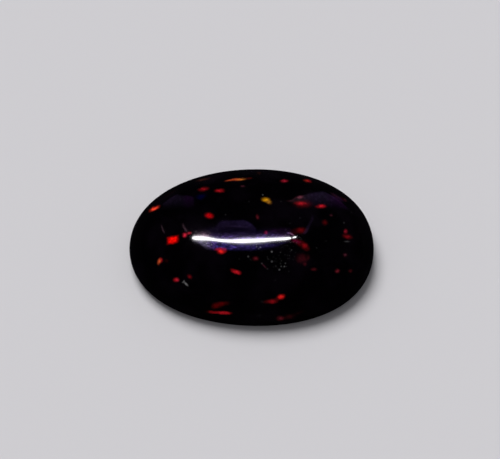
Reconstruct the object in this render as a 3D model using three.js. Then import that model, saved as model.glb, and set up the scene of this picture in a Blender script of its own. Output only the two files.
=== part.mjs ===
// A polished oval cabochon of black opal. Millimetres, +Z up.
//
// The stone has a flat back, which it rests on, and a domed face. Its widest line, the
// girdle, runs a little above the back. Below the girdle a narrow bevel leans in to the
// back and meets it in a crisp edge, and above it the dome rises, nearly upright at
// first, to the crown. Seen from above it is an oval, very slightly egg-shaped, blunter
// at +X. The long axis lies along X, and the origin is the middle of the flat back.
//
// The stone is one piece, so it is one solid. Its flashes of colour lie beneath the
// polish and have no shape of their own to touch.

import * as THREE from "three";
import { mergeVertices } from "three/addons/utils/BufferGeometryUtils.js";

// Driving dimensions
const LENGTH = 14.0; // end to end, along X
const WIDTH = 10.0; // side to side, along Y
const HEIGHT = 4.4; // from the flat back to the crown
const GIRDLE_HEIGHT = 0.9; // of the widest line above the back
const BACK_SHARE = 0.95; // the back's outline, as a share of the girdle's
const FULLNESS = 0.025; // how far the oval's corners stand out past an ellipse
const BLUNTNESS = 0.024; // how much blunter the +X end is than the -X end

// How finely the curved surface is cut into flat faces
const SEGMENTS = 96; // round the oval
const DOME_RINGS = 26; // from the girdle up to the crown
const BEVEL_RINGS = 4; // from the back out to the girdle

const QUARTER_TURN = Math.PI / 2;
const BEVEL_START = QUARTER_TURN / 3; // of the bevel's arc at the back, where 0 has no edge

// The stone's half outline in section, as points of x = share of the girdle's reach and
// y = height in millimetres. It starts and ends on the axis, back first. The bevel is the
// upper part of a quarter ellipse, and the dome is a whole quarter of another.
function sectionOutline() {
  const points = [new THREE.Vector2(0, 0)];
  for (let i = 0; i <= BEVEL_RINGS; i++) {
    const angle = BEVEL_START + ((QUARTER_TURN - BEVEL_START) * i) / BEVEL_RINGS;
    const inset = (1 - Math.sin(angle)) / (1 - Math.sin(BEVEL_START));
    const drop = Math.cos(angle) / Math.cos(BEVEL_START);
    points.push(new THREE.Vector2(1 - (1 - BACK_SHARE) * inset, GIRDLE_HEIGHT * (1 - drop)));
  }
  for (let i = 1; i < DOME_RINGS; i++) {
    const angle = (QUARTER_TURN * i) / DOME_RINGS;
    const height = GIRDLE_HEIGHT + (HEIGHT - GIRDLE_HEIGHT) * Math.sin(angle);
    points.push(new THREE.Vector2(Math.cos(angle), height));
  }
  points.push(new THREE.Vector2(0, HEIGHT));
  return points;
}

// How far the oval stands out past an ellipse, as a factor of the ellipse's reach, at an
// angle round it. The share is 0 on the axis and 1 at the girdle: it fades the factor out
// towards the crown, so that the polished dome stays smooth there.
function ovalFactor(angle, share) {
  const corners = FULLNESS * Math.sin(2 * angle) ** 2;
  const blunter = BLUNTNESS * Math.sin(2 * angle) * Math.sin(angle);
  return 1 + (corners + blunter) * share ** 3;
}

// A round dome of unit reach, turned on the lathe and stood up along Z, then pulled out
// to the oval.
function stoneGeometry() {
  const turned = new THREE.LatheGeometry(sectionOutline(), SEGMENTS);
  turned.rotateX(QUARTER_TURN);
  turned.deleteAttribute("normal");
  turned.deleteAttribute("uv");

  const position = turned.getAttribute("position");
  for (let i = 0; i < position.count; i++) {
    const angle = Math.atan2(position.getY(i), position.getX(i));
    const share = Math.hypot(position.getX(i), position.getY(i));
    const reach = share * ovalFactor(angle, share);
    position.setX(i, (LENGTH / 2) * reach * Math.cos(angle));
    position.setY(i, (WIDTH / 2) * reach * Math.sin(angle));
  }

  const geometry = mergeVertices(turned);
  geometry.computeVertexNormals();
  return geometry;
}

// Black opal with a high polish
const polishedOpal = new THREE.MeshStandardMaterial({
  color: 0x08060a,
  roughness: 0.05,
  metalness: 0.0,
});

const stone = new THREE.Mesh(stoneGeometry(), polishedOpal);
stone.name = "opal_stone";

const cabochon = new THREE.Group();
cabochon.add(stone);

export default cabochon;
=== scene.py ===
# %% [markdown]
# A black opal cabochon
# The object is one polished stone: a black opal cut to an oval dome with a flat back.
# Nearly all of its look comes from three things. The body is almost black. Small flashes
# of red, orange and gold lie just under the polish. And the polish itself mirrors the
# lamps. So this lesson is mostly about one smooth surface, one material and the lights.

from collections import namedtuple
from math import cos, pi, radians, sin

import bpy
import numpy as np
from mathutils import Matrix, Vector


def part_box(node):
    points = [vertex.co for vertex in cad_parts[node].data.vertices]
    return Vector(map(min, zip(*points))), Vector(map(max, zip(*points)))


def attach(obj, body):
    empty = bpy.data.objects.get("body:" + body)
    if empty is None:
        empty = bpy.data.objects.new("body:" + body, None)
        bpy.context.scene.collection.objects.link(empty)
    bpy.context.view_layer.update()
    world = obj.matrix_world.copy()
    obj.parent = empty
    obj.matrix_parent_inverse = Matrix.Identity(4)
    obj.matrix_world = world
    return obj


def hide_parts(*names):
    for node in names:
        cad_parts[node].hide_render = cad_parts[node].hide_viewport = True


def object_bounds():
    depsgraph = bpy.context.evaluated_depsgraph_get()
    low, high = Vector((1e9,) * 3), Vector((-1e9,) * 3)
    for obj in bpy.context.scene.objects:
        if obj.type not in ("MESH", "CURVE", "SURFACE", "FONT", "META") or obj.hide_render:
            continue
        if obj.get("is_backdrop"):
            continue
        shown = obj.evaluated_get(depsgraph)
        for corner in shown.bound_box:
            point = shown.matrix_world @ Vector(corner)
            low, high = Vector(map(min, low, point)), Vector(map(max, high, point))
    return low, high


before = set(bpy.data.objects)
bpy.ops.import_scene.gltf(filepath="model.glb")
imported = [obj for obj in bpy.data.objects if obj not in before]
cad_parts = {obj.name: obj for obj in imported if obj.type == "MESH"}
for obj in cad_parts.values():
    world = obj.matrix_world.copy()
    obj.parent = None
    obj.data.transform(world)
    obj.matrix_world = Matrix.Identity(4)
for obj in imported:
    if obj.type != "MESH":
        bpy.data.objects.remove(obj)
CAD_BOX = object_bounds()
MM = 0.001  # a millimetre, in the metres that the scene is built in
print("the packed stone's nodes:", sorted(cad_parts))

# %% [markdown]
# The stone's sizes
# The sizes are read from the imported stone, so that the fine surface can't drift from it.
# Only the girdle's height, and the shares that shape the section and the oval, are repeated
# here.

# %% Sizes of the stone
LOW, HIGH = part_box("opal_stone")
GIRDLE_HEIGHT = 0.9 * MM  # of the widest line above the flat back
BACK_SHARE = 0.95  # the back's outline, as a share of the girdle's
BEVEL_START = pi / 6  # of the bevel's arc at the back, where 0 would leave no edge
FULLNESS = 0.025  # how far the oval's corners stand out past an ellipse
BLUNTNESS = 0.024  # how much blunter the +X end is than the -X end


def oval_factor(angle, share):
    """How far the oval stands out past an ellipse, as a factor of the ellipse's reach.

    The corners add FULLNESS times the squared sine of twice the angle, and the blunter end
    adds BLUNTNESS times the sine of twice the angle times the sine of the angle. Both fade
    with the cube of the share, which is 0 on the axis and 1 at the girdle."""
    corners = FULLNESS * np.sin(2 * angle) ** 2
    blunter = BLUNTNESS * np.sin(2 * angle) * np.sin(angle)
    return 1 + (corners + blunter) * share**3


ROUND = np.linspace(0, 2 * pi, 3601)
WIDEST = (oval_factor(ROUND, 1.0) * np.sin(ROUND)).max()
HEIGHT = HIGH.z
HALF_LENGTH = (HIGH.x - LOW.x) / 2
HALF_WIDTH = (HIGH.y - LOW.y) / 2 / WIDEST
DOME_RISE = HEIGHT - GIRDLE_HEIGHT
print(f"half length {HALF_LENGTH / MM:.3f}, half width {HALF_WIDTH / MM:.3f}, height {HEIGHT / MM:.3f} mm")

# %% [markdown]
# The camera
# The photograph looks down on the stone from about 55 degrees, along its short axis. A
# long lens gives the photograph's flat perspective. The camera comes first here, because
# the flashes and the lamps are placed by looking through it.

# %% Place the camera
PHOTO_WIDE, PHOTO_HIGH = 500, 459  # pixels
BACK_IN_PHOTO = (251.6, 257.1)  # the pixel where the middle of the stone's back falls
VIEW_HEIGHT = radians(55)  # of the camera above the horizon
VIEW_DISTANCE = 0.160  # from the middle of the back
LENS, SENSOR = 200.0, 36.0  # focal length and film width
PIXEL = VIEW_DISTANCE * SENSOR / LENS / PHOTO_WIDE  # what one pixel spans at the stone


def add_camera():
    """A camera on a line from the middle of the back at VIEW_HEIGHT, turned a little so
    that the middle of the back falls on its pixel."""
    place = VIEW_DISTANCE * Vector((0, -cos(VIEW_HEIGHT), sin(VIEW_HEIGHT)))
    aim_right = (PHOTO_WIDE / 2 - BACK_IN_PHOTO[0]) * PIXEL
    aim_up = (BACK_IN_PHOTO[1] - PHOTO_HIGH / 2) * PIXEL
    aim = Vector((aim_right, aim_up * sin(VIEW_HEIGHT), aim_up * cos(VIEW_HEIGHT)))
    lens = bpy.data.cameras.new("photo_camera")
    lens.lens = LENS
    lens.sensor_width = SENSOR
    lens.clip_start = 0.01
    lens.clip_end = 20.0
    camera = bpy.data.objects.new("photo_camera", lens)
    camera.location = place
    camera.rotation_euler = (place - aim).to_track_quat("Z", "Y").to_euler()
    bpy.context.scene.collection.objects.link(camera)
    return camera


camera = add_camera()
bpy.context.scene.camera = camera
CAMERA_PLACE = np.array(camera.location)
TO_RIGHT, TO_TOP, TO_CAMERA = np.array(camera.rotation_euler.to_matrix()).T
print(f"one pixel spans {PIXEL / MM:.4f} mm at the stone")

# %% [markdown]
# The stone's surface
# A cabochon is ground on a wheel, so its section is a smooth curve that a formula gives
# exactly. One way to model it is to sculpt or subdivide a rough shape, but a polished
# stone is a mirror, and a mirror shows every dent. Here each point is worked out from two
# numbers: an angle round the oval, and a place along the section from back to crown.


# %% The stone as a function of two parameters
def section_line():
    """The section from the back's middle to the crown, as shares of the reach and heights.

    The back is flat. The bevel is the upper part of a quarter ellipse, from BEVEL_START up
    to a quarter turn. The dome is a whole quarter ellipse, from the girdle to the crown.
    The rows crowd together at the back's edge, so that it shades as a narrow round edge."""
    edge = BACK_SHARE * np.array([0.2, 0.4, 0.6, 0.75, 0.87, 0.94, 0.98, 0.995])
    bevel = BEVEL_START + (pi / 2 - BEVEL_START) * np.linspace(0, 1, 18) ** 1.4
    inset = (1 - np.sin(bevel)) / (1 - sin(BEVEL_START))
    bevel_height = GIRDLE_HEIGHT * (1 - np.cos(bevel) / cos(BEVEL_START))
    dome = np.linspace(0, pi / 2, 160)[1:-1]
    share = np.concatenate([edge, 1 - (1 - BACK_SHARE) * inset, np.cos(dome)])
    height = np.concatenate([0 * edge, bevel_height, GIRDLE_HEIGHT + DOME_RISE * np.sin(dome)])
    return share, height


def stone_grid(segments):
    """Points of the stone's skin, one row for each place along the section.

    A point lies at its share of the ellipse's reach times the oval factor, in the direction
    of its angle, stretched by the half length along X and by the half width along Y."""
    share, height = section_line()
    angle = np.arange(segments) * 2 * pi / segments
    reach = share[:, None] * oval_factor(angle[None], share[:, None])
    x = HALF_LENGTH * reach * np.cos(angle)
    y = HALF_WIDTH * reach * np.sin(angle)
    z = np.broadcast_to(height[:, None], x.shape)
    return np.stack([x, y, z], axis=-1)


# %% Turn a grid of points into a closed mesh
def closed_mesh(name, rings, bottom, top):
    """A mesh skinned over rings of points, closed by a fan to a single point at each end.

    The rings run anticlockwise from above and from the bottom up, so that every face,
    taken along the ring and then up, points outwards."""
    rows, segments = rings.shape[:2]
    points = np.concatenate([rings.reshape(-1, 3), [bottom, top]])
    here = np.arange(rows * segments).reshape(rows, segments)
    beside = np.roll(here, -1, axis=1)
    walls = np.stack([here[:-1], beside[:-1], beside[1:], here[1:]], axis=-1).reshape(-1, 4)
    low, high = rows * segments, rows * segments + 1
    floor_fan = np.stack([beside[0], here[0], np.full(segments, low)], axis=-1)
    crown_fan = np.stack([here[-1], beside[-1], np.full(segments, high)], axis=-1)
    mesh = bpy.data.meshes.new(name)
    mesh.from_pydata(points.tolist(), [], walls.tolist() + floor_fan.tolist() + crown_fan.tolist())
    mesh.shade_smooth()
    mesh.validate()
    piece = bpy.data.objects.new(name, mesh)
    bpy.context.scene.collection.objects.link(piece)
    return piece


SEGMENTS = 320  # round the oval
stone = closed_mesh("opal_cabochon", stone_grid(SEGMENTS), (0, 0, 0), (0, 0, HEIGHT))
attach(stone, "root")
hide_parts("opal_stone")
triangles = sum(len(face.vertices) - 2 for face in stone.data.polygons)
print(f"the stone has {triangles} triangles")

# %% [markdown]
# Looking through the camera
# The flashes are placed by the pixel where the photograph shows them. A line of sight runs
# from the camera through the pixel, and the flash goes where that line first meets the
# stone. The same sum, with the line mirrored off the polish, says where a lamp has to
# stand for its reflection to fall on a given pixel.


# %% Where a pixel's line of sight meets the stone
SEARCH_REACH, SEARCH_STEPS = 9 * MM, 361  # to each side of VIEW_DISTANCE, and how many steps in all
HALVINGS = 30  # enough to close in on the skin to far below a micrometre


def oval_share(points):
    """How far out points lie, as shares of the girdle's reach in their direction.

    The ellipse's share is divided by the oval factor, which itself depends on the share, so
    the sum is repeated until it settles."""
    x, y = points[..., 0] / HALF_LENGTH, points[..., 1] / HALF_WIDTH
    ellipse_share, angle = np.hypot(x, y), np.arctan2(y, x)
    share = ellipse_share
    for _ in range(4):
        share = ellipse_share / oval_factor(angle, np.minimum(share, 1.1))
    return share


def depth_within(points):
    """A measure that is above 0 inside the stone, 0 on its skin and below 0 outside.

    It is the squared share where the skin is at the point's height, less the point's own
    squared share. On the dome the skin's squared share is 1 less the squared rise."""
    z = points[..., 2]
    rise = (z - GIRDLE_HEIGHT) / DOME_RISE
    drop = np.clip(1 - z / GIRDLE_HEIGHT, 0, 1)
    bevel = np.arccos(drop * cos(BEVEL_START))
    bevel_share = 1 - (1 - BACK_SHARE) * (1 - np.sin(bevel)) / (1 - sin(BEVEL_START))
    skin = np.where(rise > 0, 1 - rise**2, bevel_share**2)
    return np.where(z < 0, -1.0, skin - oval_share(points) ** 2)


def sight_lines(x, y):
    """Unit vectors from the camera through pixels of the photograph."""
    across = (np.asarray(x) - PHOTO_WIDE / 2) * SENSOR / LENS / PHOTO_WIDE
    up = (PHOTO_HIGH / 2 - np.asarray(y)) * SENSOR / LENS / PHOTO_WIDE
    lines = across[..., None] * TO_RIGHT + up[..., None] * TO_TOP - TO_CAMERA
    return lines / np.linalg.norm(lines, axis=-1, keepdims=True)


def first_touch(lines):
    """Where lines from the camera first meet the skin.

    Steps along each line find the first point inside, and halving the last step many times
    closes in on the skin."""
    steps = VIEW_DISTANCE + np.linspace(-SEARCH_REACH, SEARCH_REACH, SEARCH_STEPS)
    tries = CAMERA_PLACE + lines[..., None, :] * steps[:, None]
    inside = depth_within(tries) > 0
    if not inside.any(axis=-1).all():
        raise ValueError("a pixel lies off the stone")
    first = inside.argmax(axis=-1)
    near, far = steps[first - 1], steps[first]
    for _ in range(HALVINGS):
        middle = (near + far) / 2
        within = depth_within(CAMERA_PLACE + lines * middle[..., None]) > 0
        near, far = np.where(within, near, middle), np.where(within, middle, far)
    return CAMERA_PLACE + lines * far[..., None]


def skin_normals(points):
    """Outward unit normals, from the slope of depth_within along X, Y and Z."""
    nudge = 1e-6
    slope = [depth_within(points + step) - depth_within(points - step) for step in np.eye(3) * nudge]
    normals = -np.stack(slope, axis=-1)
    return normals / np.linalg.norm(normals, axis=-1, keepdims=True)


CROWN_RISE = 43  # pixels that the crown shows above the middle of the back
crown = first_touch(sight_lines([BACK_IN_PHOTO[0]], [BACK_IN_PHOTO[1] - CROWN_RISE]))[0] / MM
print("the pixel of the crown touches the stone at", np.round(crown, 2), "mm")

# %% [markdown]
# Building materials in code
# Every node is added by one small helper, which sets its properties and fills its inputs
# with either a plain value or a link from another node.


# %% A helper that adds one shader node
def add_node(tree, kind, inputs=(), **settings):
    """Adds one node, sets its properties, and fills its inputs with values or with links."""
    node = tree.nodes.new(kind)
    for name, value in settings.items():
        setattr(node, name, value)
    for socket, value in dict(inputs).items():
        if isinstance(value, bpy.types.NodeSocket):
            tree.links.new(value, node.inputs[socket])
        else:
            node.inputs[socket].default_value = value
    return node


# %% Shorter helpers for the sums that come up most
def number_sum(tree, operation, *values):
    """One Math node, worked on up to three numbers."""
    return add_node(tree, "ShaderNodeMath", enumerate(values), operation=operation).outputs[0]


def vector_sum(tree, operation, *values):
    """One Vector Math node, whose result is a number where the operation is a dot product."""
    outputs = add_node(tree, "ShaderNodeVectorMath", enumerate(values), operation=operation).outputs
    return outputs["Value"] if operation == "DOT_PRODUCT" else outputs[0]


def eased(tree, value, start, end, low=0.0, high=1.0):
    """Carries a value from low at start to high at end, easing in and out."""
    ends = {"Value": value, "From Min": start, "From Max": end, "To Min": low, "To Max": high}
    return add_node(tree, "ShaderNodeMapRange", ends, interpolation_type="SMOOTHSTEP").outputs[0]


def mixed(tree, share, first, second, way="MIX"):
    """A colour that is the first where the share is 0 and the second where it is 1. The way
    LIGHTEN keeps the brighter of the two instead of the second."""
    colours = {0: share, 6: first, 7: second}
    return add_node(tree, "ShaderNodeMix", colours, data_type="RGBA", blend_type=way).outputs[2]


def noise(tree, points, grain, detail=2.0):
    """A noise whose lumps are about one grain across, as its number and its colour."""
    settings = {"Vector": points, "Scale": 1 / grain, "Detail": detail}
    outputs = add_node(tree, "ShaderNodeTexNoise", settings).outputs
    return outputs[0], outputs[1]


def new_group(name, inputs, outputs):
    """An empty node group with named sockets. inputs and outputs map names to kinds of socket."""
    group = bpy.data.node_groups.new(name, "ShaderNodeTree")
    for direction, sockets in (("INPUT", inputs), ("OUTPUT", outputs)):
        for socket, kind in sockets.items():
            group.interface.new_socket(socket, in_out=direction, socket_type="NodeSocket" + kind)
    return group


# %% [markdown]
# A flash of colour
# Precious opal is built of tiny silica spheres in layers, and where a patch of layers
# faces the right way it flashes one pure colour. Each patch has its own size and tilt, so
# each is given one by one: a soft-edged oval or square, stretched and turned, whose colour
# may change from one end to the other. The group lays its colour over the colours so far,
# keeping the brighter of the two, and a chain of these groups makes the whole scatter.

# %% The flash as a node group
FLASH_SOCKETS = {
    "Point": "Vector",
    "Colours so far": "Color",
    "Middle": "Vector",
    "Length way": "Vector",
    "Width way": "Vector",
    "Depth way": "Vector",
    "Left colour": "Color",
    "Right colour": "Color",
    "Squareness": "Float",
    "Softness": "Float",
}
END_BLEND = 0.7  # how far from the middle a flash reaches its ends' colours, in half sizes


def make_flash_group():
    """One flash. Each way is a direction divided by the flash's half size along it, so a dot
    product with it counts half sizes from the middle. The three counts are raised to the
    power Squareness, added, and taken back by the same root, and that is the reach, which
    is 1 where the flash has faded by half."""
    group = new_group("opal_flash", FLASH_SOCKETS, {"Colours": "Color"})
    given = add_node(group, "NodeGroupInput").outputs
    offset = vector_sum(group, "SUBTRACT", given["Point"], given["Middle"])
    counts = []
    for way in ("Length way", "Width way", "Depth way"):
        counts.append(vector_sum(group, "DOT_PRODUCT", offset, given[way]))
    reach = 0.0
    for count in counts:
        far = number_sum(group, "POWER", number_sum(group, "ABSOLUTE", count), given["Squareness"])
        reach = number_sum(group, "ADD", reach, far)
    root = number_sum(group, "DIVIDE", 1.0, given["Squareness"])
    reach = number_sum(group, "POWER", reach, root)
    outer = number_sum(group, "ADD", 1.0, given["Softness"])
    inner = number_sum(group, "SUBTRACT", 1.0, given["Softness"])
    end = eased(group, counts[0], -END_BLEND, END_BLEND)
    colour = mixed(group, end, given["Left colour"], given["Right colour"])
    mask = eased(group, reach, outer, inner)
    shown = mixed(group, mask, given["Colours so far"], colour, "LIGHTEN")
    add_node(group, "NodeGroupOutput", {"Colours": shown})
    return group


flash_group = make_flash_group()
print("the flash group has", len(flash_group.nodes), "nodes")

# %% [markdown]
# Where the flashes are
# The lists read like notes beside the photograph. Each flash has a name, the pixel of its
# middle, and its length and width in pixels between the places where it has faded by half.
# Then come its turn in degrees, anticlockwise, its colour, and how bright its middle looks,
# where 1 is as bright as a picture can show. These colours and levels are the ones that a
# picture holds, so they can be compared with the photograph directly. Soft is how much of
# a flash is fade: near 0 it has a hard edge and near 1 it is a soft bell. Square is 2 for
# an oval and more for a squarer patch, lean slants it, and right is the colour of its
# right end where that differs.

# %% Colours of the flashes
COLOURS = {
    "pure red": (1, 0.07, 0.03),
    "ruby": (1, 0.05, 0.1),
    "red": (1, 0.15, 0.2),
    "dusky red": (1, 0.3, 0.38),
    "scarlet": (1, 0.15, 0.14),
    "vermilion": (1, 0.27, 0.18),
    "orange": (1, 0.4, 0.22),
    "amber": (1, 0.55, 0.22),
    "gold": (1, 0.68, 0.08),
    "old gold": (1, 0.66, 0.23),
    "rose": (1, 0.2, 0.3),
    "purple": (1, 0.11, 0.45),
    "brown": (1, 0.55, 0.42),
    "dusty pink": (1, 0.5, 0.62),
    "blue": (0, 0, 1),
    "lilac": (0.9, 0.48, 1),
    "grey": (1, 1, 1),
}
FIELDS = "name x y long wide turn colour shown soft square lean right"  # what a row holds
FADE, OVAL, UPRIGHT, SAME = 0.95, 2.0, 0.0, None  # its last four, where it doesn't give them
Flash = namedtuple("Flash", FIELDS, defaults=(FADE, OVAL, UPRIGHT, SAME))

# %% Flashes along the far rim
FAR_FLASHES = [
    ("far left dash", 154.3, 208.7, 9.4, 3.3, 25, "vermilion", 0.97, 0.8, 2.8),
    ("brown streak", 203.3, 179.6, 13, 2.4, 11, "brown", 0.18),
    ("upper left red", 203.5, 189.1, 8.8, 3.6, 8, "red", 0.47),
    ("upper middle red", 219.5, 190.6, 8.1, 3.2, -1, "red", 0.57, 0.9, 3),
    ("long streak's thin start", 229.5, 180.3, 8, 1.6, 11, "orange", 0.51),
    ("long streak", 238, 179.5, 13, 2.4, 3, "orange", 0.71, FADE, OVAL, UPRIGHT, "amber"),
    ("long streak's link", 246.5, 178.9, 6, 1.6, 0, "orange", 0.17, FADE, OVAL, UPRIGHT, "vermilion"),
    ("long streak's red tip", 249.5, 178.2, 5, 1.8, 8, "vermilion", 0.24),
    ("small dim red", 242.6, 186.3, 4.6, 2.4, 0, "dusty pink", 0.22),
    ("navy patch", 201, 196.7, 10, 5.5, 10, "blue", 0.14),
    ("brown on the rim", 259, 173.2, 4.8, 2.6, 0, "brown", 0.12),
    ("far red", 284.2, 181, 6.5, 3, 0, "rose", 0.55),
    ("far right red", 307.5, 180.8, 6.8, 3, -12, "vermilion", 0.55, FADE, OVAL, UPRIGHT, "red"),
    ("right rim ember", 345.3, 199.9, 4, 2.4, -50, "dusty pink", 0.17),
    ("left rim line", 170, 193.6, 20, 1.4, 35, "red", 0.06),
]

# %% Flashes on the dome's upper half
UPPER_FLASHES = [
    ("gold", 266, 199.9, 7.8, 4.2, -14, "gold", 0.75),
    ("gold foot", 268.9, 201.8, 5.5, 3.4, -35, "old gold", 0.53),
    ("ruby", 209.2, 215.8, 7.6, 4.8, -12, "ruby", 0.67),
    ("slanted dim rose", 257.4, 217.1, 3, 4.6, 20, "dusky red", 0.28),
    ("window halo", 303, 203.9, 15.4, 7, 0, "red", 0.28),
    ("window streak", 300.7, 203.2, 9.2, 2.8, 0, "red", 0.57),
    ("pink wisp", 300.1, 197.1, 6.2, 2.6, 8, "dusty pink", 0.38),
    ("right window red", 321.7, 206, 7.2, 3.9, 0, "red", 0.68),
    ("right window red's tail", 318, 206.8, 5, 2.8, 0, "red", 0.38),
    ("small brown red", 331.3, 215.1, 2.8, 2.8, 0, "dusty pink", 0.19),
    ("dim round red", 324.9, 222.4, 5.4, 5, 0, "red", 0.235),
    ("dim red by the line", 300.6, 230.5, 9.6, 5.4, 0, "red", 0.32),
    ("haze at the line's end", 293.5, 232.5, 7, 6, 0, "purple", 0.14, FADE, OVAL, UPRIGHT, "red"),
    ("rose speck", 265.9, 232.6, 3.6, 3.4, 0, "purple", 0.44),
    ("right red", 345.6, 231.1, 3.6, 3.8, 0, "rose", 0.46),
    ("right red, slanted", 347.3, 236.5, 8.4, 4, -13, "red", 0.41),
]

# %% Flashes on the dome's left and middle
LEFT_FLASHES = [
    ("square red", 172.8, 239.9, 10, 6.6, 10, "pure red", 0.93, 0.6, 6, 0.25),
    ("left red speck", 184.8, 235.2, 4.1, 3.8, 0, "rose", 0.76),
    ("left rose speck", 189.3, 233.4, 4.6, 2.8, 20, "rose", 0.53),
    ("notched red", 220.9, 251.1, 6.2, 4.6, 0, "scarlet", 1),
    ("notched red's wing", 220.2, 249.2, 9.4, 2.6, 0, "red", 0.62, 0.9, 2.4),
    ("notched red's right shoulder", 224.4, 250.8, 4, 3.4, 0, "red", 0.5),
    ("amber fleck", 159.2, 261.6, 2.8, 5.6, -11, "orange", 0.71),
    ("amber fleck's red side", 160.9, 260.2, 2.8, 4, 0, "red", 0.54),
    ("ghost of a red", 166, 260.7, 5, 4, 0, "pure red", 0.115),
    ("rose dot", 176.1, 279.9, 5, 3.8, 0, "red", 0.78, FADE, OVAL, UPRIGHT, "rose"),
    ("dim slanted red", 189.5, 276.6, 4.8, 3.1, -45, "red", 0.4),
    ("middle red", 235.6, 271.5, 9.2, 3.7, -20, "red", 0.59, 0.7, 2.6),
    ("middle red's bright end", 238, 272.3, 4.6, 3.2, -20, "red", 0.65),
    ("dim middle red", 255.4, 258.5, 6, 4.2, 0, "dusky red", 0.29),
]

# %% Flashes on the dome's right
RIGHT_FLASHES = [
    ("purple halo", 296, 241.3, 11, 4, -18, "purple", 0.3),
    ("purple streak", 302.5, 244.8, 13, 6, -35, "red", 0.27),
    ("purple streak's core", 304.8, 245.8, 4.5, 4, 0, "red", 0.4),
    ("purple streak's lower tail", 307, 248.5, 4, 4, 0, "red", 0.22),
    ("dim red cloud", 302.2, 258.6, 11.4, 9.2, 0, "dusky red", 0.185, 0.8, 2.4),
    ("cloud's spot", 307.8, 258, 3.2, 3.4, 0, "dusky red", 0.15),
    ("cloud's tail", 304.8, 264.4, 3.2, 3.2, 0, "dusky red", 0.2),
    ("dim dash", 313.8, 269.4, 5.6, 3, 0, "dusky red", 0.23),
    ("pink dot's rim", 345.1, 255, 5, 4.6, 0, "dusky red", 0.11),
    ("pink dot", 345.1, 255, 2.6, 2.6, 0, "dusty pink", 0.24),
    ("low right red", 337.3, 271.1, 4.5, 4.1, 0, "dusky red", 0.34),
    ("low right red's neighbour", 350.4, 271, 3.8, 3.8, 0, "dusky red", 0.21),
]

# %% Flashes low on the dome's near side
NEAR_FLASHES = [
    ("low left cloud", 216.9, 305.7, 9.4, 5.4, 14, "ruby", 0.3),
    ("low left cloud's tail", 222.2, 303.8, 12, 4, 8, "ruby", 0.285),
    ("long low line", 218.9, 312.6, 20.4, 3, -4, "red", 0.49, 0.6, 3.4),
    ("long low line's bright end", 224.4, 313, 10, 2.6, -3, "red", 0.64, 0.8, 2.8),
    ("low bright red", 281.2, 297.1, 6, 4, 15, "scarlet", 0.92),
    ("low dim red", 270.4, 301.4, 11.4, 4, 4, "red", 0.34),
    ("low dim red's bright end", 273.2, 301.2, 5.4, 3.2, 0, "red", 0.46),
    ("link of the low reds", 276.6, 299.2, 5, 3, 20, "red", 0.24),
    ("nearest red", 280.7, 318.3, 7.6, 4.2, 0, "dusky red", 0.3),
    ("nearest red's tail", 289.5, 316.8, 10, 5, 10, "dusky red", 0.165),
    ("nearest red's far tail", 298, 313.4, 11, 3.5, 25, "dusky red", 0.095),
    ("faint grey spot", 262.3, 301.5, 3.5, 3, 0, "grey", 0.085),
    ("second faint grey spot", 259.5, 315.3, 4.5, 3, 0, "grey", 0.085),
]
SEEN_FLASHES = FAR_FLASHES + UPPER_FLASHES + LEFT_FLASHES + RIGHT_FLASHES + NEAR_FLASHES
print(len(SEEN_FLASHES), "flashes read from the photograph")

# %% [markdown]
# Marks and painted reflections on the polish
# A stone that has been handled carries a little dust, a fibre and a hair-fine scratch or
# two. They have the same simple shapes as the flashes, so they are noted in the same way.
# They lie on the surface, so they are paint and don't shine. A speck of dust is a round
# dot, and needs only its pixel, its size and how bright it looks. Two entries are not marks
# but painted reflections. The faint haze at the right rim is painted, because the surface
# is so steep there that its lamp would have to stand below the floor. The haze on the right
# rim is probably a faint reflection. The thin wisp of grey, at the left tip of the right
# window, is a painted reflection too.

# %% The fibre, the scratches, the dust and two painted reflections
MARKS_AND_REFLECTIONS = [
    ("fibre", 186.1, 284, 5.4, 2, -45, "grey", 0.44, 0.8),
    ("fibre's fork", 183.9, 281.4, 2.6, 1.6, 65, "grey", 0.38),
    ("fibre's stub", 183, 282.5, 2.2, 1.4, 0, "grey", 0.3),
    ("scratch", 264.1, 265.9, 7.5, 1.6, -47, "dusty pink", 0.21),
    ("short scratch", 250.5, 259.5, 4, 1.4, -50, "grey", 0.1),
    ("grey dash", 346.9, 241.5, 5.6, 1.6, 0, "grey", 0.22),
    # Painted reflection: a faint haze at the right rim, its bright edge and its red end.
    ("haze on the right rim", 337.2, 198, 14, 5.2, -36, "lilac", 0.125, 0.6, 3),
    ("haze's bright edge", 337, 196.7, 12, 1.8, -32, "dusty pink", 0.165, FADE, OVAL, UPRIGHT, "lilac"),
    ("haze's red end", 343.3, 199.2, 6, 2.4, -42, "red", 0.14),
    # Painted reflection: a thin wisp of grey at the left tip of the right window.
    ("grey wisp", 291, 200.9, 9, 1.9, 0, "dusty pink", 0.14),
    ("grey wisp's rise", 294.9, 198.3, 6, 1.9, 38, "dusty pink", 0.15),
]
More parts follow.
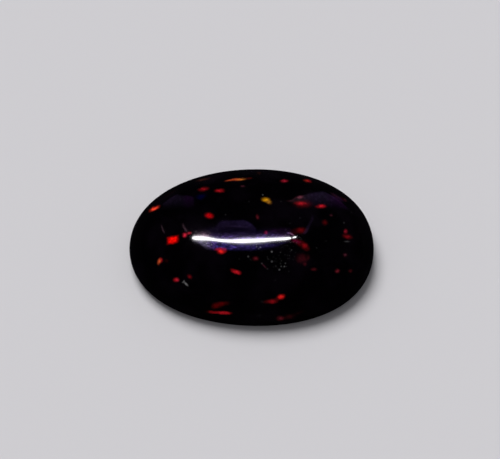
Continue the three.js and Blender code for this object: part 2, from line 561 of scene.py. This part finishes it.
# Each speck is a pixel, its size in pixels and its level.
DUST = [
    (271.8, 251.7, 1.9, 0.35), (271.9, 261.5, 2.2, 0.26), (275.8, 265.5, 1.5, 0.11),
    (281.2, 266.5, 1.7, 0.24), (284.5, 266.5, 1.7, 0.3), (286.5, 266.5, 1.5, 0.13),
    (279.4, 269.7, 1.9, 0.31), (285.4, 263.3, 1.7, 0.22), (289.5, 255.5, 1.5, 0.13),
    (291.5, 250, 1.7, 0.19), (289.5, 248.5, 1.5, 0.1), (294.5, 256.5, 1.5, 0.1),
    (295.5, 252.5, 1.5, 0.1), (269.7, 259.5, 1.5, 0.08), (276.8, 261.5, 1.5, 0.08),
    (316.7, 247.8, 1.7, 0.13), (320, 251.8, 1.5, 0.07), (262.8, 194.8, 1.7, 0.24),
    (261.9, 263.5, 1.7, 0.2), (225.6, 214.7, 1.7, 0.13), (344, 222.8, 2, 0.16),
    (239.2, 258.8, 1.7, 0.11), (248.2, 256.5, 2, 0.24), (256.6, 246.6, 1.8, 0.29),
    (260.4, 247.3, 1.8, 0.34), (258.6, 248.6, 1.6, 0.22), (206.5, 243.6, 1.8, 0.36),
    (211.5, 244.6, 1.8, 0.36), (364, 242, 1.8, 0.1), (326, 241, 1.8, 0.1),
    (286, 229.5, 1.8, 0.11), (290, 223.5, 1.8, 0.1), (300, 218, 1.8, 0.1),
    (249, 201.5, 1.8, 0.1), (281, 201.5, 1.8, 0.1), (351.5, 212, 1.8, 0.1),
]
FINE_DUST = 32  # specks too fine to note one by one
FINE_DUST_MIDDLE, FINE_DUST_SPREAD = (283.0, 257.0), (9.0, 7.0)  # pixels
FINE_DUST_SIZES, FINE_DUST_LEVELS = (1.4, 1.9), (0.08, 0.16)
sift = np.random.default_rng(3)
for _ in range(FINE_DUST):
    x, y = sift.normal(FINE_DUST_MIDDLE, FINE_DUST_SPREAD)
    DUST.append((x, y, sift.uniform(*FINE_DUST_SIZES), sift.uniform(*FINE_DUST_LEVELS)))
MARKS_AND_REFLECTIONS += [("dust", x, y, size, size, 0, "grey", shown) for x, y, size, shown in DUST]

# %% [markdown]
# Placing the flashes on the stone
# A flash takes its directions from the picture: its length along the picture's horizontal,
# turned, and its depth towards the camera. On the steep rim the same patch is stretched
# over the slope, as the photograph's thin streaks there are. After that it is fixed to the
# stone, and no camera moves it.

# %% Middle, directions and sizes of a flash
Patch = namedtuple("Patch", "middle ways left right square soft")
FLASH_DEPTH = 0.9 * MM  # half depth of a patch through the skin


def patch_from_pixels(flash, middle):
    """The patch of the stone that a flash of the photograph covers."""
    turned = radians(flash.turn)
    along = cos(turned) * TO_RIGHT + sin(turned) * TO_TOP
    upward = cos(turned) * TO_TOP - sin(turned) * TO_RIGHT
    half_length, half_width = flash.long / 2 * PIXEL, flash.wide / 2 * PIXEL
    slanted = along - flash.lean * upward
    ways = (slanted / half_length, upward / half_width, TO_CAMERA / FLASH_DEPTH)
    ends = (flash.colour, flash.right or flash.colour)
    left, right = (tuple(flash.shown * part for part in COLOURS[end]) for end in ends)
    return Patch(middle, ways, left, right, flash.square, flash.soft)


def patches_from_pixels(rows):
    """The patches for rows of notes, each where its pixel's line of sight meets the stone."""
    flashes = [Flash(*row) for row in rows]
    middles = first_touch(sight_lines([flash.x for flash in flashes], [flash.y for flash in flashes]))
    return [patch_from_pixels(flash, middle) for flash, middle in zip(flashes, middles)]


patches = patches_from_pixels(SEEN_FLASHES)
# These hold real dust, a fibre and scratches, and also two painted reflections.
marks_and_reflections = patches_from_pixels(MARKS_AND_REFLECTIONS)
heights = [patch.middle[2] / MM for patch in patches]
print(f"the flashes lie between {min(heights):.2f} and {max(heights):.2f} mm above the back")

# %% [markdown]
# Flashes where the photograph doesn't look
# The far side and the back are hidden in the photograph, but the stone can be turned and
# seen from all round, so the scatter goes on. These flashes lie flat on the skin, at places
# drawn from a seeded generator, with the sizes and colours of the ones that are seen. A
# place that the photograph's camera could see is left empty, since its flashes are known.

# %% Scatter flashes over the hidden skin
FLANK_TRIES, BACK_FLASHES = 26, 9
HIDDEN = -0.12  # how far a normal must face away from the camera, as a cosine
FLANK_LOW, FLANK_HIGH = 0.15 * MM, 1.9 * MM  # heights that the flank's flashes lie between
HIDDEN_SOFTNESS = 0.9
draw = np.random.default_rng(11)


def patch_on_skin(middle, normal, look):
    """A patch lying flat on the skin, turned at random about the normal."""
    side = np.cross(normal, (0.0, 0.0, 1.0) if abs(normal[2]) < 0.9 else (1.0, 0.0, 0.0))
    side /= np.linalg.norm(side)
    length_way = cos(look["turn"]) * side + sin(look["turn"]) * np.cross(normal, side)
    width_way = np.cross(normal, length_way)
    ways = (length_way / look["long"] * 2, width_way / look["wide"] * 2, normal / FLASH_DEPTH)
    colour = tuple(look["shown"] * part for part in COLOURS[look["colour"]])
    return Patch(middle, ways, colour, colour, look["square"], HIDDEN_SOFTNESS)


def random_look(brightest):
    """Size, turn, colour and brightness of one hidden flash."""
    return {
        "turn": draw.uniform(0, pi),
        "long": draw.uniform(0.25, 0.65) * MM,
        "wide": draw.uniform(0.14, 0.28) * MM,
        "shown": brightest * draw.uniform(0.2, 1.0),
        "colour": draw.choice(["red", "red", "red", "scarlet", "orange"]),
        "square": draw.uniform(2.0, 3.0),
    }


def flank_patches():
    """Patches on the far flank. Their angles are spread evenly over the far side and then
    jittered, so that they neither line up nor pile up."""
    made = []
    for step in range(FLANK_TRIES):
        angle = pi * (step + draw.uniform(0.1, 0.9)) / FLANK_TRIES
        height = draw.uniform(FLANK_LOW, FLANK_HIGH)
        look = random_look(0.95)
        line = np.array([HALF_LENGTH * cos(angle), HALF_WIDTH * sin(angle), 0.0])
        low, high = 0.5, 1.2  # shares of the oval's reach, one within the stone and one outside
        for _ in range(HALVINGS):
            share = (low + high) / 2
            inside = depth_within(line * share + [0, 0, height]) > 0
            low, high = (share, high) if inside else (low, share)
        middle = line * low + [0, 0, height]
        normal = skin_normals(middle)
        if normal @ TO_CAMERA < HIDDEN:
            made.append(patch_on_skin(middle, normal, look))
    return made


def back_patches():
    """Patches on the flat back, spread round it by the golden angle. They are dimmer,
    because the back is lapped and not polished."""
    made = []
    for step in range(BACK_FLASHES):
        angle = step * pi * (3 - 5**0.5)
        share = 0.85 * ((step + draw.uniform(0.2, 0.8)) / BACK_FLASHES) ** 0.5
        middle = np.array([HALF_LENGTH * share * cos(angle), HALF_WIDTH * share * sin(angle), 0.0])
        made.append(patch_on_skin(middle, np.array([0.0, 0.0, -1.0]), random_look(0.6)))
    return made


hidden_patches = flank_patches() + back_patches()
patches += hidden_patches
print(len(hidden_patches), "hidden flashes, so", len(patches), "in all")

# %% [markdown]
# The polished opal
# The whole stone is one opaque shader. The real stone is faintly see-through, but its body
# is so dark that light from inside never shows, and an opaque surface keeps the flashes
# crisp. The colour is a near-black body with the chain of flashes added. The flashes are
# also given out as light, because a flash is a glint, and brighter than paint can be.

# %% Colours and finish of the stone
BODY_DARK = (0.0002, 0.0001, 0.0003, 1)
BODY_PALE = (0.0016, 0.0008, 0.0021, 1)
BACK_DARK = (0.008, 0.0065, 0.009, 1)
BACK_PALE = (0.022, 0.018, 0.022, 1)
POLISHED, SMUDGED, LAPPED = 0.05, 0.085, 0.36  # roughness of the dome, its smudges and the back
CLARITY = 1.45  # the opal's refractive index, which sets how much its polish mirrors
PAINT_SHARE, GLOW_SHARE = 0.62, 0.38  # of a flash's colour that is lit, and that shines
WAVER = 0.12 * MM  # how far a flash's outline wanders
WAVER_GRAIN = 0.30 * MM
UNEVEN_GRAIN = 0.16 * MM  # of the changes in brightness within a flash
DIMMEST, BRIGHTEST = 0.87, 1.16  # factors that those changes run between
MOTTLE_GRAIN, SMUDGE_GRAIN = 1.6 * MM, 3.0 * MM  # of the body's shade and of the polish
LAPPED_BELOW, POLISHED_ABOVE = 0.008 * MM, 0.03 * MM  # heights that bound the lapped back
# Each change runs between two levels of its noise.
MOTTLE_BAND, LAPPED_BAND, SMUDGE_BAND, UNEVEN_BAND = (0.4, 0.7), (0.35, 0.65), (0.45, 0.7), (0.32, 0.68)
PICTURE_GAMMA = 2.2  # the power that turns a picture's level into an amount of light
BLACK = (0.0, 0.0, 0.0, 1.0)


# %% The flashes, the marks and the painted reflections, as they go into the material
def wavering(tree, points):
    """The points, each pushed a little by a noise, so that the flashes have uneven outlines."""
    push = vector_sum(tree, "SUBTRACT", noise(tree, points, WAVER_GRAIN)[1], (0.5, 0.5, 0.5))
    return vector_sum(tree, "MULTIPLY_ADD", push, (WAVER, WAVER, WAVER), points)


def chain(tree, points, patches):
    """The colours of all the patches, laid over black one after another, in picture levels. The
    values are given in the order of FLASH_SOCKETS."""
    colours = BLACK
    for patch in patches:
        ends = ((*patch.left, 1), (*patch.right, 1))
        given = (points, colours, patch.middle, *patch.ways, *ends, patch.square, patch.soft)
        values = dict(zip(FLASH_SOCKETS, given))
        colours = add_node(tree, "ShaderNodeGroup", values, node_tree=flash_group).outputs[0]
    return colours


def as_light(tree, colours):
    """Amounts of light from picture levels, by the power PICTURE_GAMMA."""
    return add_node(tree, "ShaderNodeGamma", {"Color": colours, "Gamma": PICTURE_GAMMA}).outputs[0]


# %% Build the opal material
def make_opal_material():
    """Near-black opal with its flashes, marks and painted reflections, a mirror polish and a lapped back.
    """
    material = bpy.data.materials.new("polished_opal")
    material.use_nodes = True
    tree = material.node_tree
    shader = tree.nodes["Principled BSDF"]
    points = add_node(tree, "ShaderNodeTexCoord").outputs["Object"]
    height = add_node(tree, "ShaderNodeSeparateXYZ", {0: points}).outputs["Z"]
    back = eased(tree, height, POLISHED_ABOVE, LAPPED_BELOW)

    mottle = noise(tree, points, MOTTLE_GRAIN, 4.0)[0]
    body = mixed(tree, eased(tree, mottle, *MOTTLE_BAND), BODY_DARK, BODY_PALE)
    lapped = mixed(tree, eased(tree, mottle, *LAPPED_BAND), BACK_DARK, BACK_PALE)
    ground = mixed(tree, back, body, lapped)

    change = noise(tree, points, UNEVEN_GRAIN)[0]
    uneven = eased(tree, change, *UNEVEN_BAND, DIMMEST, BRIGHTEST)
    scatter = {0: chain(tree, wavering(tree, points), patches), "Scale": uneven}
    flashes = as_light(tree, add_node(tree, "ShaderNodeVectorMath", scatter, operation="SCALE").outputs[0])
    painted = vector_sum(tree, "MULTIPLY_ADD", flashes, (PAINT_SHARE, PAINT_SHARE, PAINT_SHARE), ground)
    # The marks' colours, the dust and the painted reflections alike, are added to the base colour.
    base = vector_sum(tree, "ADD", painted, as_light(tree, chain(tree, points, marks_and_reflections)))
    smudge = noise(tree, points, SMUDGE_GRAIN, 3.0)[0]
    polish = eased(tree, smudge, *SMUDGE_BAND, POLISHED, SMUDGED)
    dulled = number_sum(tree, "MAXIMUM", polish, number_sum(tree, "MULTIPLY", back, LAPPED))

    tree.links.new(base, shader.inputs["Base Color"])
    tree.links.new(dulled, shader.inputs["Roughness"])
    tree.links.new(flashes, shader.inputs["Emission Color"])
    shader.inputs["Emission Strength"].default_value = GLOW_SHARE
    shader.inputs["IOR"].default_value = CLARITY
    return material


stone.data.materials.append(make_opal_material())
print("the opal's shader has", len(stone.active_material.node_tree.nodes), "nodes")

# %% [markdown]
# The floor and the surroundings
# The floor is plain, pale and matte. A polished stone mirrors whatever lies round it, most
# of all along its rim, and a pale floor would draw a bright ring there that hides how black
# the opal is. So the floor and the surroundings are pale to look at and to be lit by, but
# dark where the stone mirrors them. A Light Path node tells these rays apart.

# %% Make the floor and the world
FLOOR_REACH = 3.0  # half the floor's side
FLOOR_PALE = (0.64, 0.63, 0.65, 1)
FLOOR_MIRRORED = (0.005, 0.0045, 0.006, 1)
WORLD_SEEN = (0.62, 0.61, 0.63, 1)
WORLD_LIGHT = (0.26, 0.26, 0.27, 1)
WORLD_MIRRORED = (0.003, 0.0025, 0.004, 1)


def bare_material(name):
    """A new material with no nodes yet, and its node tree."""
    material = bpy.data.materials.new(name)
    material.use_nodes = True
    material.node_tree.nodes.clear()
    return material, material.node_tree


def add_floor():
    """One large square, at the height of the stone's back."""
    mesh = bpy.data.meshes.new("floor")
    corners = [(x * FLOOR_REACH, y * FLOOR_REACH, 0) for x, y in ((-1, -1), (1, -1), (1, 1), (-1, 1))]
    mesh.from_pydata(corners, [], [(0, 1, 2, 3)])
    material, tree = bare_material("pale_floor")
    mirrored = add_node(tree, "ShaderNodeLightPath").outputs["Is Glossy Ray"]
    colour = mixed(tree, mirrored, FLOOR_PALE, FLOOR_MIRRORED)
    matte = add_node(tree, "ShaderNodeBsdfDiffuse", {"Color": colour})
    add_node(tree, "ShaderNodeOutputMaterial", {"Surface": matte.outputs[0]})
    mesh.materials.append(material)
    made = bpy.data.objects.new("floor", mesh)
    bpy.context.scene.collection.objects.link(made)
    return made


def add_world():
    """An even surround: pale to the camera, dimmer as light, and dark in the polish."""
    world = bpy.data.worlds.new("studio")
    world.use_nodes = True
    tree = world.node_tree
    tree.nodes.clear()
    rays = add_node(tree, "ShaderNodeLightPath").outputs
    colour = mixed(tree, rays["Is Camera Ray"], WORLD_LIGHT, WORLD_SEEN)
    colour = mixed(tree, rays["Is Glossy Ray"], colour, WORLD_MIRRORED)
    surround = add_node(tree, "ShaderNodeBackground", {"Color": colour, "Strength": 1.0})
    add_node(tree, "ShaderNodeOutputWorld", {"Surface": surround.outputs[0]})
    bpy.context.scene.world = world


floor = add_floor()
add_world()
floor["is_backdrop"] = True

# %% [markdown]
# The main light
# A wide soft light stands high, behind and to the left, and throws the soft shadow that
# the photograph shows to the lower right. The polish doesn't mirror it: what the polish
# mirrors is made next, piece by piece.

# %% Add the main light
SUN_STRENGTH = 2.4
SUN_SPREAD = radians(35)  # how wide the light is across, which softens the shadow
SUN_FROM = Vector((-0.25, 0.33, 1.0))


def add_sun():
    """A distant light from the direction SUN_FROM, as wide as SUN_SPREAD."""
    light = bpy.data.lights.new("main_light", "SUN")
    light.energy = SUN_STRENGTH
    light.angle = SUN_SPREAD
    sun = bpy.data.objects.new("main_light", light)
    sun.rotation_euler = SUN_FROM.to_track_quat("Z", "Y").to_euler()
    sun.visible_glossy = False
    bpy.context.scene.collection.objects.link(sun)


add_sun()

# %% [markdown]
# The lamps in the polish
# The photograph's most striking mark is the long white reflection of a strip lamp, with a
# violet bloom round it and the dim shapes of two windows near the top. Each one is a card
# of light far out from the stone. Its shape is found backwards: take the pixels where the
# reflection falls, follow the line of sight to the stone, mirror it there, and go on until
# it meets a wide sphere. That way the stone itself says where its lamps stood. The outer
# corners of the windows come out a little below the floor, and the floor hides them.

# %% From a pixel to the place of its lamp
LAMP_SPHERE = 0.6  # radius of the sphere that the cards lie on


def mirrored_share(facing):
    """The share of light that clear polish mirrors, by Fresnel's formula, where facing is
    the cosine between the line of sight and the normal."""
    bent = np.sqrt(CLARITY**2 - 1 + facing**2)
    across = ((bent - facing) / (bent + facing)) ** 2
    along = ((facing * (bent + facing) - 1) / (facing * (bent - facing) + 1)) ** 2
    return across * (1 + along) / 2


def lamp_places(x, y):
    """Points on the lamp sphere that pixels of the photograph see in the polish, and the
    share of light that the polish mirrors there."""
    lines = sight_lines(x, y)
    touch = first_touch(lines)
    normals = skin_normals(touch)
    facing = -(lines * normals).sum(axis=-1, keepdims=True)
    mirrored = lines + 2 * facing * normals
    nearness = (touch * mirrored).sum(axis=-1, keepdims=True)
    outside = LAMP_SPHERE**2 - (touch**2).sum(axis=-1, keepdims=True)
    reach = np.sqrt(nearness**2 + outside) - nearness
    return touch + mirrored * reach, mirrored_share(facing)


# %% How the light of a card fades
LINE_REACH = 6  # how many times its softness the white line's card reaches to each side


def smooth(value):
    """The smooth step: 0 below 0, 1 above 1, and three squares less two cubes between."""
    value = np.clip(value, 0, 1)
    return value * value * (3 - 2 * value)


def bright_line(across):
    """Brightest along the middle, and fading fast to both edges with a faint long tail. The
    distance from the middle is counted in times the line's softness and raised to the power
    1.2, and the light is e to the minus of that."""
    return np.exp(-((LINE_REACH * np.abs(2 * across - 1)) ** 1.2))


def crisp_edge(across):
    """Rises at once from the first edge, and fades slowly towards the second."""
    return smooth(across / 0.12) * smooth((1 - across) / 0.9)


def soft_end(across):
    """Even from the first edge on, and faded out over the half next to the second."""
    return smooth((1 - across) / 0.5)


def dying(across):
    """Halves again and again away from the first edge: e to the minus of 5 times the
    distance, eased to nothing at the second edge."""
    return np.exp(-5 * across) * smooth((1 - across) / 0.4)


def even(across):
    """Even all over, with soft edges."""
    return smooth(across / 0.2) * smooth((1 - across) / 0.2)


# %% Turn a pair of edges into a card
Card = namedtuple("Card", "name first second colours levels fade ends grain", defaults=(0.0,))
LAMP_COLOURS = {
    "white": (1, 0.985, 1),
    "pink": (1, 0.42, 0.8),
    "mauve": (0.62, 0.34, 1),
    "violet": (0.3, 0.14, 1),
    "haze": (0.42, 0.24, 1),
    "blue": (0.24, 0.15, 1),
    "plum": (0.62, 0.13, 1),
    "slate": (0.6, 0.36, 1),
    "lavender": (0.65, 0.55, 1),
    "grey": (1, 0.55, 0.75),
}
CARD_COLUMNS, CARD_ROWS = 90, 24
GRAIN_ROWS = 8  # across a card, so that a grain is about as wide as it is long
grains = np.random.default_rng(5)


def curve_through(knots, count):
    """A smooth curve through the knots: between two of them it is the Catmull-Rom cubic,
    whose slope at each knot is half the step between that knot's neighbours."""
    knots = np.array(knots, dtype=float).reshape(len(knots), -1)
    ends = 2 * knots[[0, -1]] - knots[[1, -2]]
    padded = np.concatenate([ends[:1], knots, ends[1:]])
    along = np.linspace(0, len(knots) - 1, count)
    step = np.minimum(along.astype(int), len(knots) - 2)
    t = (along - step)[:, None]
    a, b, c, d = (padded[step + i] for i in range(4))
    return b + t / 2 * (c - a + t * (2 * a - 5 * b + 4 * c - d + t * (3 * (b - c) + d - a)))


def grainy(share):
    """Random factors for the points of a card, 1 on average. Most lie below 1 and a few far
    above, by the exponential law, as in light that is scattered by specks."""
    factors = 1 + share * (grains.exponential(1.0, (CARD_COLUMNS, GRAIN_ROWS)) - 1)
    return np.repeat(factors, CARD_ROWS // GRAIN_ROWS, axis=1)


def add_card(card):
    """A sheet of light ruled between two edges, which are given by the pixels where they are
    seen in the polish. Its glow is what the photograph shows, divided by the mirrored share."""
    first, second = (curve_through(edge, CARD_COLUMNS)[:, None] for edge in (card.first, card.second))
    across = np.linspace(0, 1, CARD_ROWS)
    pixels = first + (second - first) * across[:, None]
    places, mirrored = lamp_places(pixels[..., 0], pixels[..., 1])
    along = np.linspace(0, 1, CARD_COLUMNS)
    ends = smooth(along / card.ends[0]) * smooth((1 - along) / card.ends[1])
    tints = [level * np.array(LAMP_COLOURS[colour]) for level, colour in zip(card.levels, card.colours)]
    tints = np.clip(curve_through(tints, CARD_COLUMNS), 0, None)
    spread = ends[:, None] * card.fade(across) * grainy(card.grain)
    glow = tints[:, None] * spread[..., None] / mirrored

    here = np.arange(CARD_COLUMNS * CARD_ROWS).reshape(CARD_COLUMNS, CARD_ROWS)
    faces = np.stack([here[:-1, :-1], here[1:, :-1], here[1:, 1:], here[:-1, 1:]], axis=-1)
    mesh = bpy.data.meshes.new(card.name)
    mesh.from_pydata(places.reshape(-1, 3).tolist(), [], faces.reshape(-1, 4).tolist())
    colours = np.concatenate([glow, np.ones_like(mirrored)], axis=-1)
    mesh.attributes.new("glow", "FLOAT_COLOR", "POINT").data.foreach_set("color", colours.ravel())
    mesh.materials.append(lamp_material)
    made = bpy.data.objects.new(card.name, mesh)
    for kind in ("camera", "diffuse", "transmission", "volume_scatter", "shadow"):
        setattr(made, "visible_" + kind, False)
    bpy.context.scene.collection.objects.link(made)
    made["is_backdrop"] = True
    lowest = np.degrees(np.arcsin(places[..., 2].min() / LAMP_SPHERE))
    print(f"{card.name}: its lowest point is {lowest:.0f} degrees above the horizon")
    return made


# %% The cards' own material
def make_lamp_material():
    """Light of the colour that each point of the card carries. The card is clear besides, so
    that the light of two cards adds up where one is seen through the other."""
    material, tree = bare_material("lamp_card")
    glow = add_node(tree, "ShaderNodeAttribute", attribute_name="glow").outputs["Color"]
    light = add_node(tree, "ShaderNodeEmission", {"Color": glow, "Strength": 1.0}).outputs[0]
    clear = add_node(tree, "ShaderNodeBsdfTransparent").outputs[0]
    both = add_node(tree, "ShaderNodeAddShader", {0: light, 1: clear}).outputs[0]
    add_node(tree, "ShaderNodeOutputMaterial", {"Surface": both})
    return material


lamp_material = make_lamp_material()

# %% The strip lamp and its bloom
# Each row is a pixel on the middle of the white line, and how soft the line is there.
LINE = [
    (192.6, 237.8, 0.72),
    (194.5, 238, 0.91),
    (200.5, 238.2, 1.09),
    (205.5, 238.5, 0.99),
    (211.5, 239.2, 0.74),
    (218.5, 240.2, 0.65),
    (230.5, 241, 0.81),
    (244.5, 240.9, 1.08),
    (260.5, 240.3, 1),
    (275.5, 239.25, 0.77),
    (283.5, 238.8, 0.74),
    (288.5, 238.3, 0.56),
    (291.2, 238.1, 0.36),
]


def beside_line(distances):
    """Pixels that lie straight below the points of the white line, by these distances."""
    return [(x, y + distance) for (x, y, _), distance in zip(LINE, distances)]


def line_card(name, start, reach, *looks):
    """A card along the line, from start pixels below each of its points to its reach there."""
    return Card(name, beside_line([start] * len(LINE)), beside_line(reach), *looks)


LINE_CARDS = [
    Card(
        "strip_lamp",
        beside_line([-LINE_REACH * soft for _, _, soft in LINE]),
        beside_line([LINE_REACH * soft for _, _, soft in LINE]),
        ["white"] * len(LINE),
        [4] * len(LINE),
        bright_line, (0.012, 0.02),
    ),
    line_card(
        "bloom_above", -1.5,
        [-7, -8.5, -9, -9, -8.5, -8.5, -11, -11, -10, -8.5, -8.5, -8.5, -8],
        ["pink"] * 4 + ["mauve"] + ["haze"] * 5 + ["mauve"] * 3,
        [0.02, 0.06, 0.2, 0.4, 0.2, 0.34, 0.36, 0.42, 0.45, 0.26, 0.18, 0.07, 0.03],
        dying, (0.02, 0.05), 0.75,
    ),
    line_card(
        "haze_above", -1.5,
        [-7, -9, -10, -12, -14, -14, -14, -14, -14, -13, -13, -12, -11],
        ["mauve"] * 3 + ["violet"] * 6 + ["plum"] * 4,
        [0, 0.001, 0.002, 0.005, 0.008, 0.006, 0.004, 0.004, 0.005, 0.008, 0.007, 0.008, 0.006],
        soft_end, (0.05, 0.05), 0.6,
    ),
    line_card(
        "bloom_below", 1,
        [4, 5, 7, 11, 12, 11, 10.5, 10.5, 11, 9, 6, 5, 4],
        ["lavender"] * 4 + ["haze"] + ["blue"] * 6 + ["plum"] * 2,
        [0.02, 0.03, 0.12, 0.15, 0.11, 0.08, 0.08, 0.075, 0.045, 0.02, 0.014, 0.012, 0],
        soft_end, (0.05, 0.1), 0.8,
    ),
    Card(
        "end_glint",
        [(292, 237.5), (293.3, 236.9), (294.9, 236.4), (296.4, 235.9)],
        [(292.4, 238.8), (293.8, 238.4), (295.4, 237.9), (296.9, 237.1)],
        ["white"] * 4,
        [0.35, 1.5, 2, 0.6],
        even, (0.15, 0.2),
    ),
    Card(
        "end_thread",
        [(286.8, 231.8), (288.4, 232.4), (290.5, 232.7), (292.4, 233.8), (294.4, 235.2)],
        [(287.4, 234.4), (288.6, 233.8), (289.9, 233.9), (291.8, 235), (293.6, 236.3)],
        ["mauve", "mauve", "pink", "pink", "pink"],
        [0.16, 0.14, 0.14, 0.16, 0.18],
        even, (0.15, 0.1),
    ),
]

# %% The dim windows
HUMP_TOP = [
    (214, 229), (218, 223.5), (222, 220.3), (233, 219.8), (244, 219.6), (251, 223),
    (257, 229),
]
HUMP_FOOT = [(x, 234) for x, _ in HUMP_TOP]
WINDOW_CARDS = [
    Card(
        "hump",
        HUMP_TOP,
        HUMP_FOOT,
        ["haze"] * len(HUMP_TOP),
        [0.004, 0.011, 0.014, 0.012, 0.018, 0.018, 0.005],
        crisp_edge, (0.05, 0.05), 0.3,
    ),
    Card(
        "hump_line",
        [(223, 225.6), (230, 225.2), (238, 225.5), (246, 226.1), (251, 227.4)],
        [(223, 227.4), (230, 227.2), (238, 227.5), (246, 228.1), (251, 229.4)],
        ["slate"] * 5,
        [0.002, 0.005, 0.009, 0.006, 0.002],
        even, (0.2, 0.2), 0.3,
    ),
    Card(
        "left_window",
        [(161.5, 203), (167, 196.6), (174, 193.2), (181, 194.6), (187, 194.8), (194.5, 196.5)],
        [(163, 210), (168, 210.5), (174, 210.5), (181, 211), (188, 211), (195.5, 210.5)],
        ["slate"] * 4 + ["plum"] * 2,
        [0.004, 0.008, 0.008, 0.006, 0.008, 0.006],
        crisp_edge, (0.05, 0.05), 0.3,
    ),
    Card(
        "right_window",
        [(287, 201), (299, 196.4), (311.4, 192.2), (325, 190.8), (338.5, 194.8), (350.5, 206.6)],
        [(287.5, 203.5), (299, 206), (312, 209), (325, 210), (338.5, 211), (351.4, 211)],
        ["grey"] * 2 + ["slate"] * 2 + ["plum"] * 2,
        [0.006, 0.01, 0.012, 0.012, 0.015, 0.011],
        crisp_edge, (0.08, 0.03), 0.3,
    ),
]

# %% The windows' thin edges
# Each row of an edge is a pixel on its middle, its width in pixels, and its level.
EDGES = {
    "far_left": [
        (160.7, 223.5, 1.2, 0.005),
        (162.3, 228.3, 1.3, 0.031),
        (163.5, 231.2, 1.3, 0.031),
        (164.8, 234, 1.3, 0.003),
    ],
    "left": [
        (183, 222, 1.5, 0.003),
        (183.4, 226, 1.7, 0.03),
        (185.1, 229, 1.7, 0.052),
        (187.2, 232.2, 1.5, 0.066),
    ],
    "right": [
        (312.3, 213, 3.2, 0.0015),
        (312.2, 219, 3.4, 0.0045),
        (309, 225, 3.4, 0.0058),
        (306.4, 230.5, 4.2, 0.012),
        (303.4, 235, 3.6, 0.008),
    ],
}
EDGE_CARDS = [
    Card(
        f"window_edge_{side}",
        [(x - width / 2, y) for x, y, width, _ in line],
        [(x + width / 2, y) for x, y, width, _ in line],
        ["slate" if side == "right" else "grey"] * len(line),
        [level for _, _, _, level in line],
        even,
        (0.2, 0.1),
        0.3,
    )
    for side, line in EDGES.items()
]
for card in LINE_CARDS + WINDOW_CARDS + EDGE_CARDS:
    add_card(card)

# %% [markdown]
# Finishing
# The photograph's colours are plain and strong, so the picture is shown without a film
# curve. The last lines print the box of the imported stone and of this one.

# %% Write the sizes and finish
bpy.context.scene.view_settings.view_transform = "Standard"
boxes = {"cad": CAD_BOX, "visual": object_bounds()}
for name, (low, high) in boxes.items():
    print(name, "box in mm:", [round(side / MM, 3) for side in high - low])
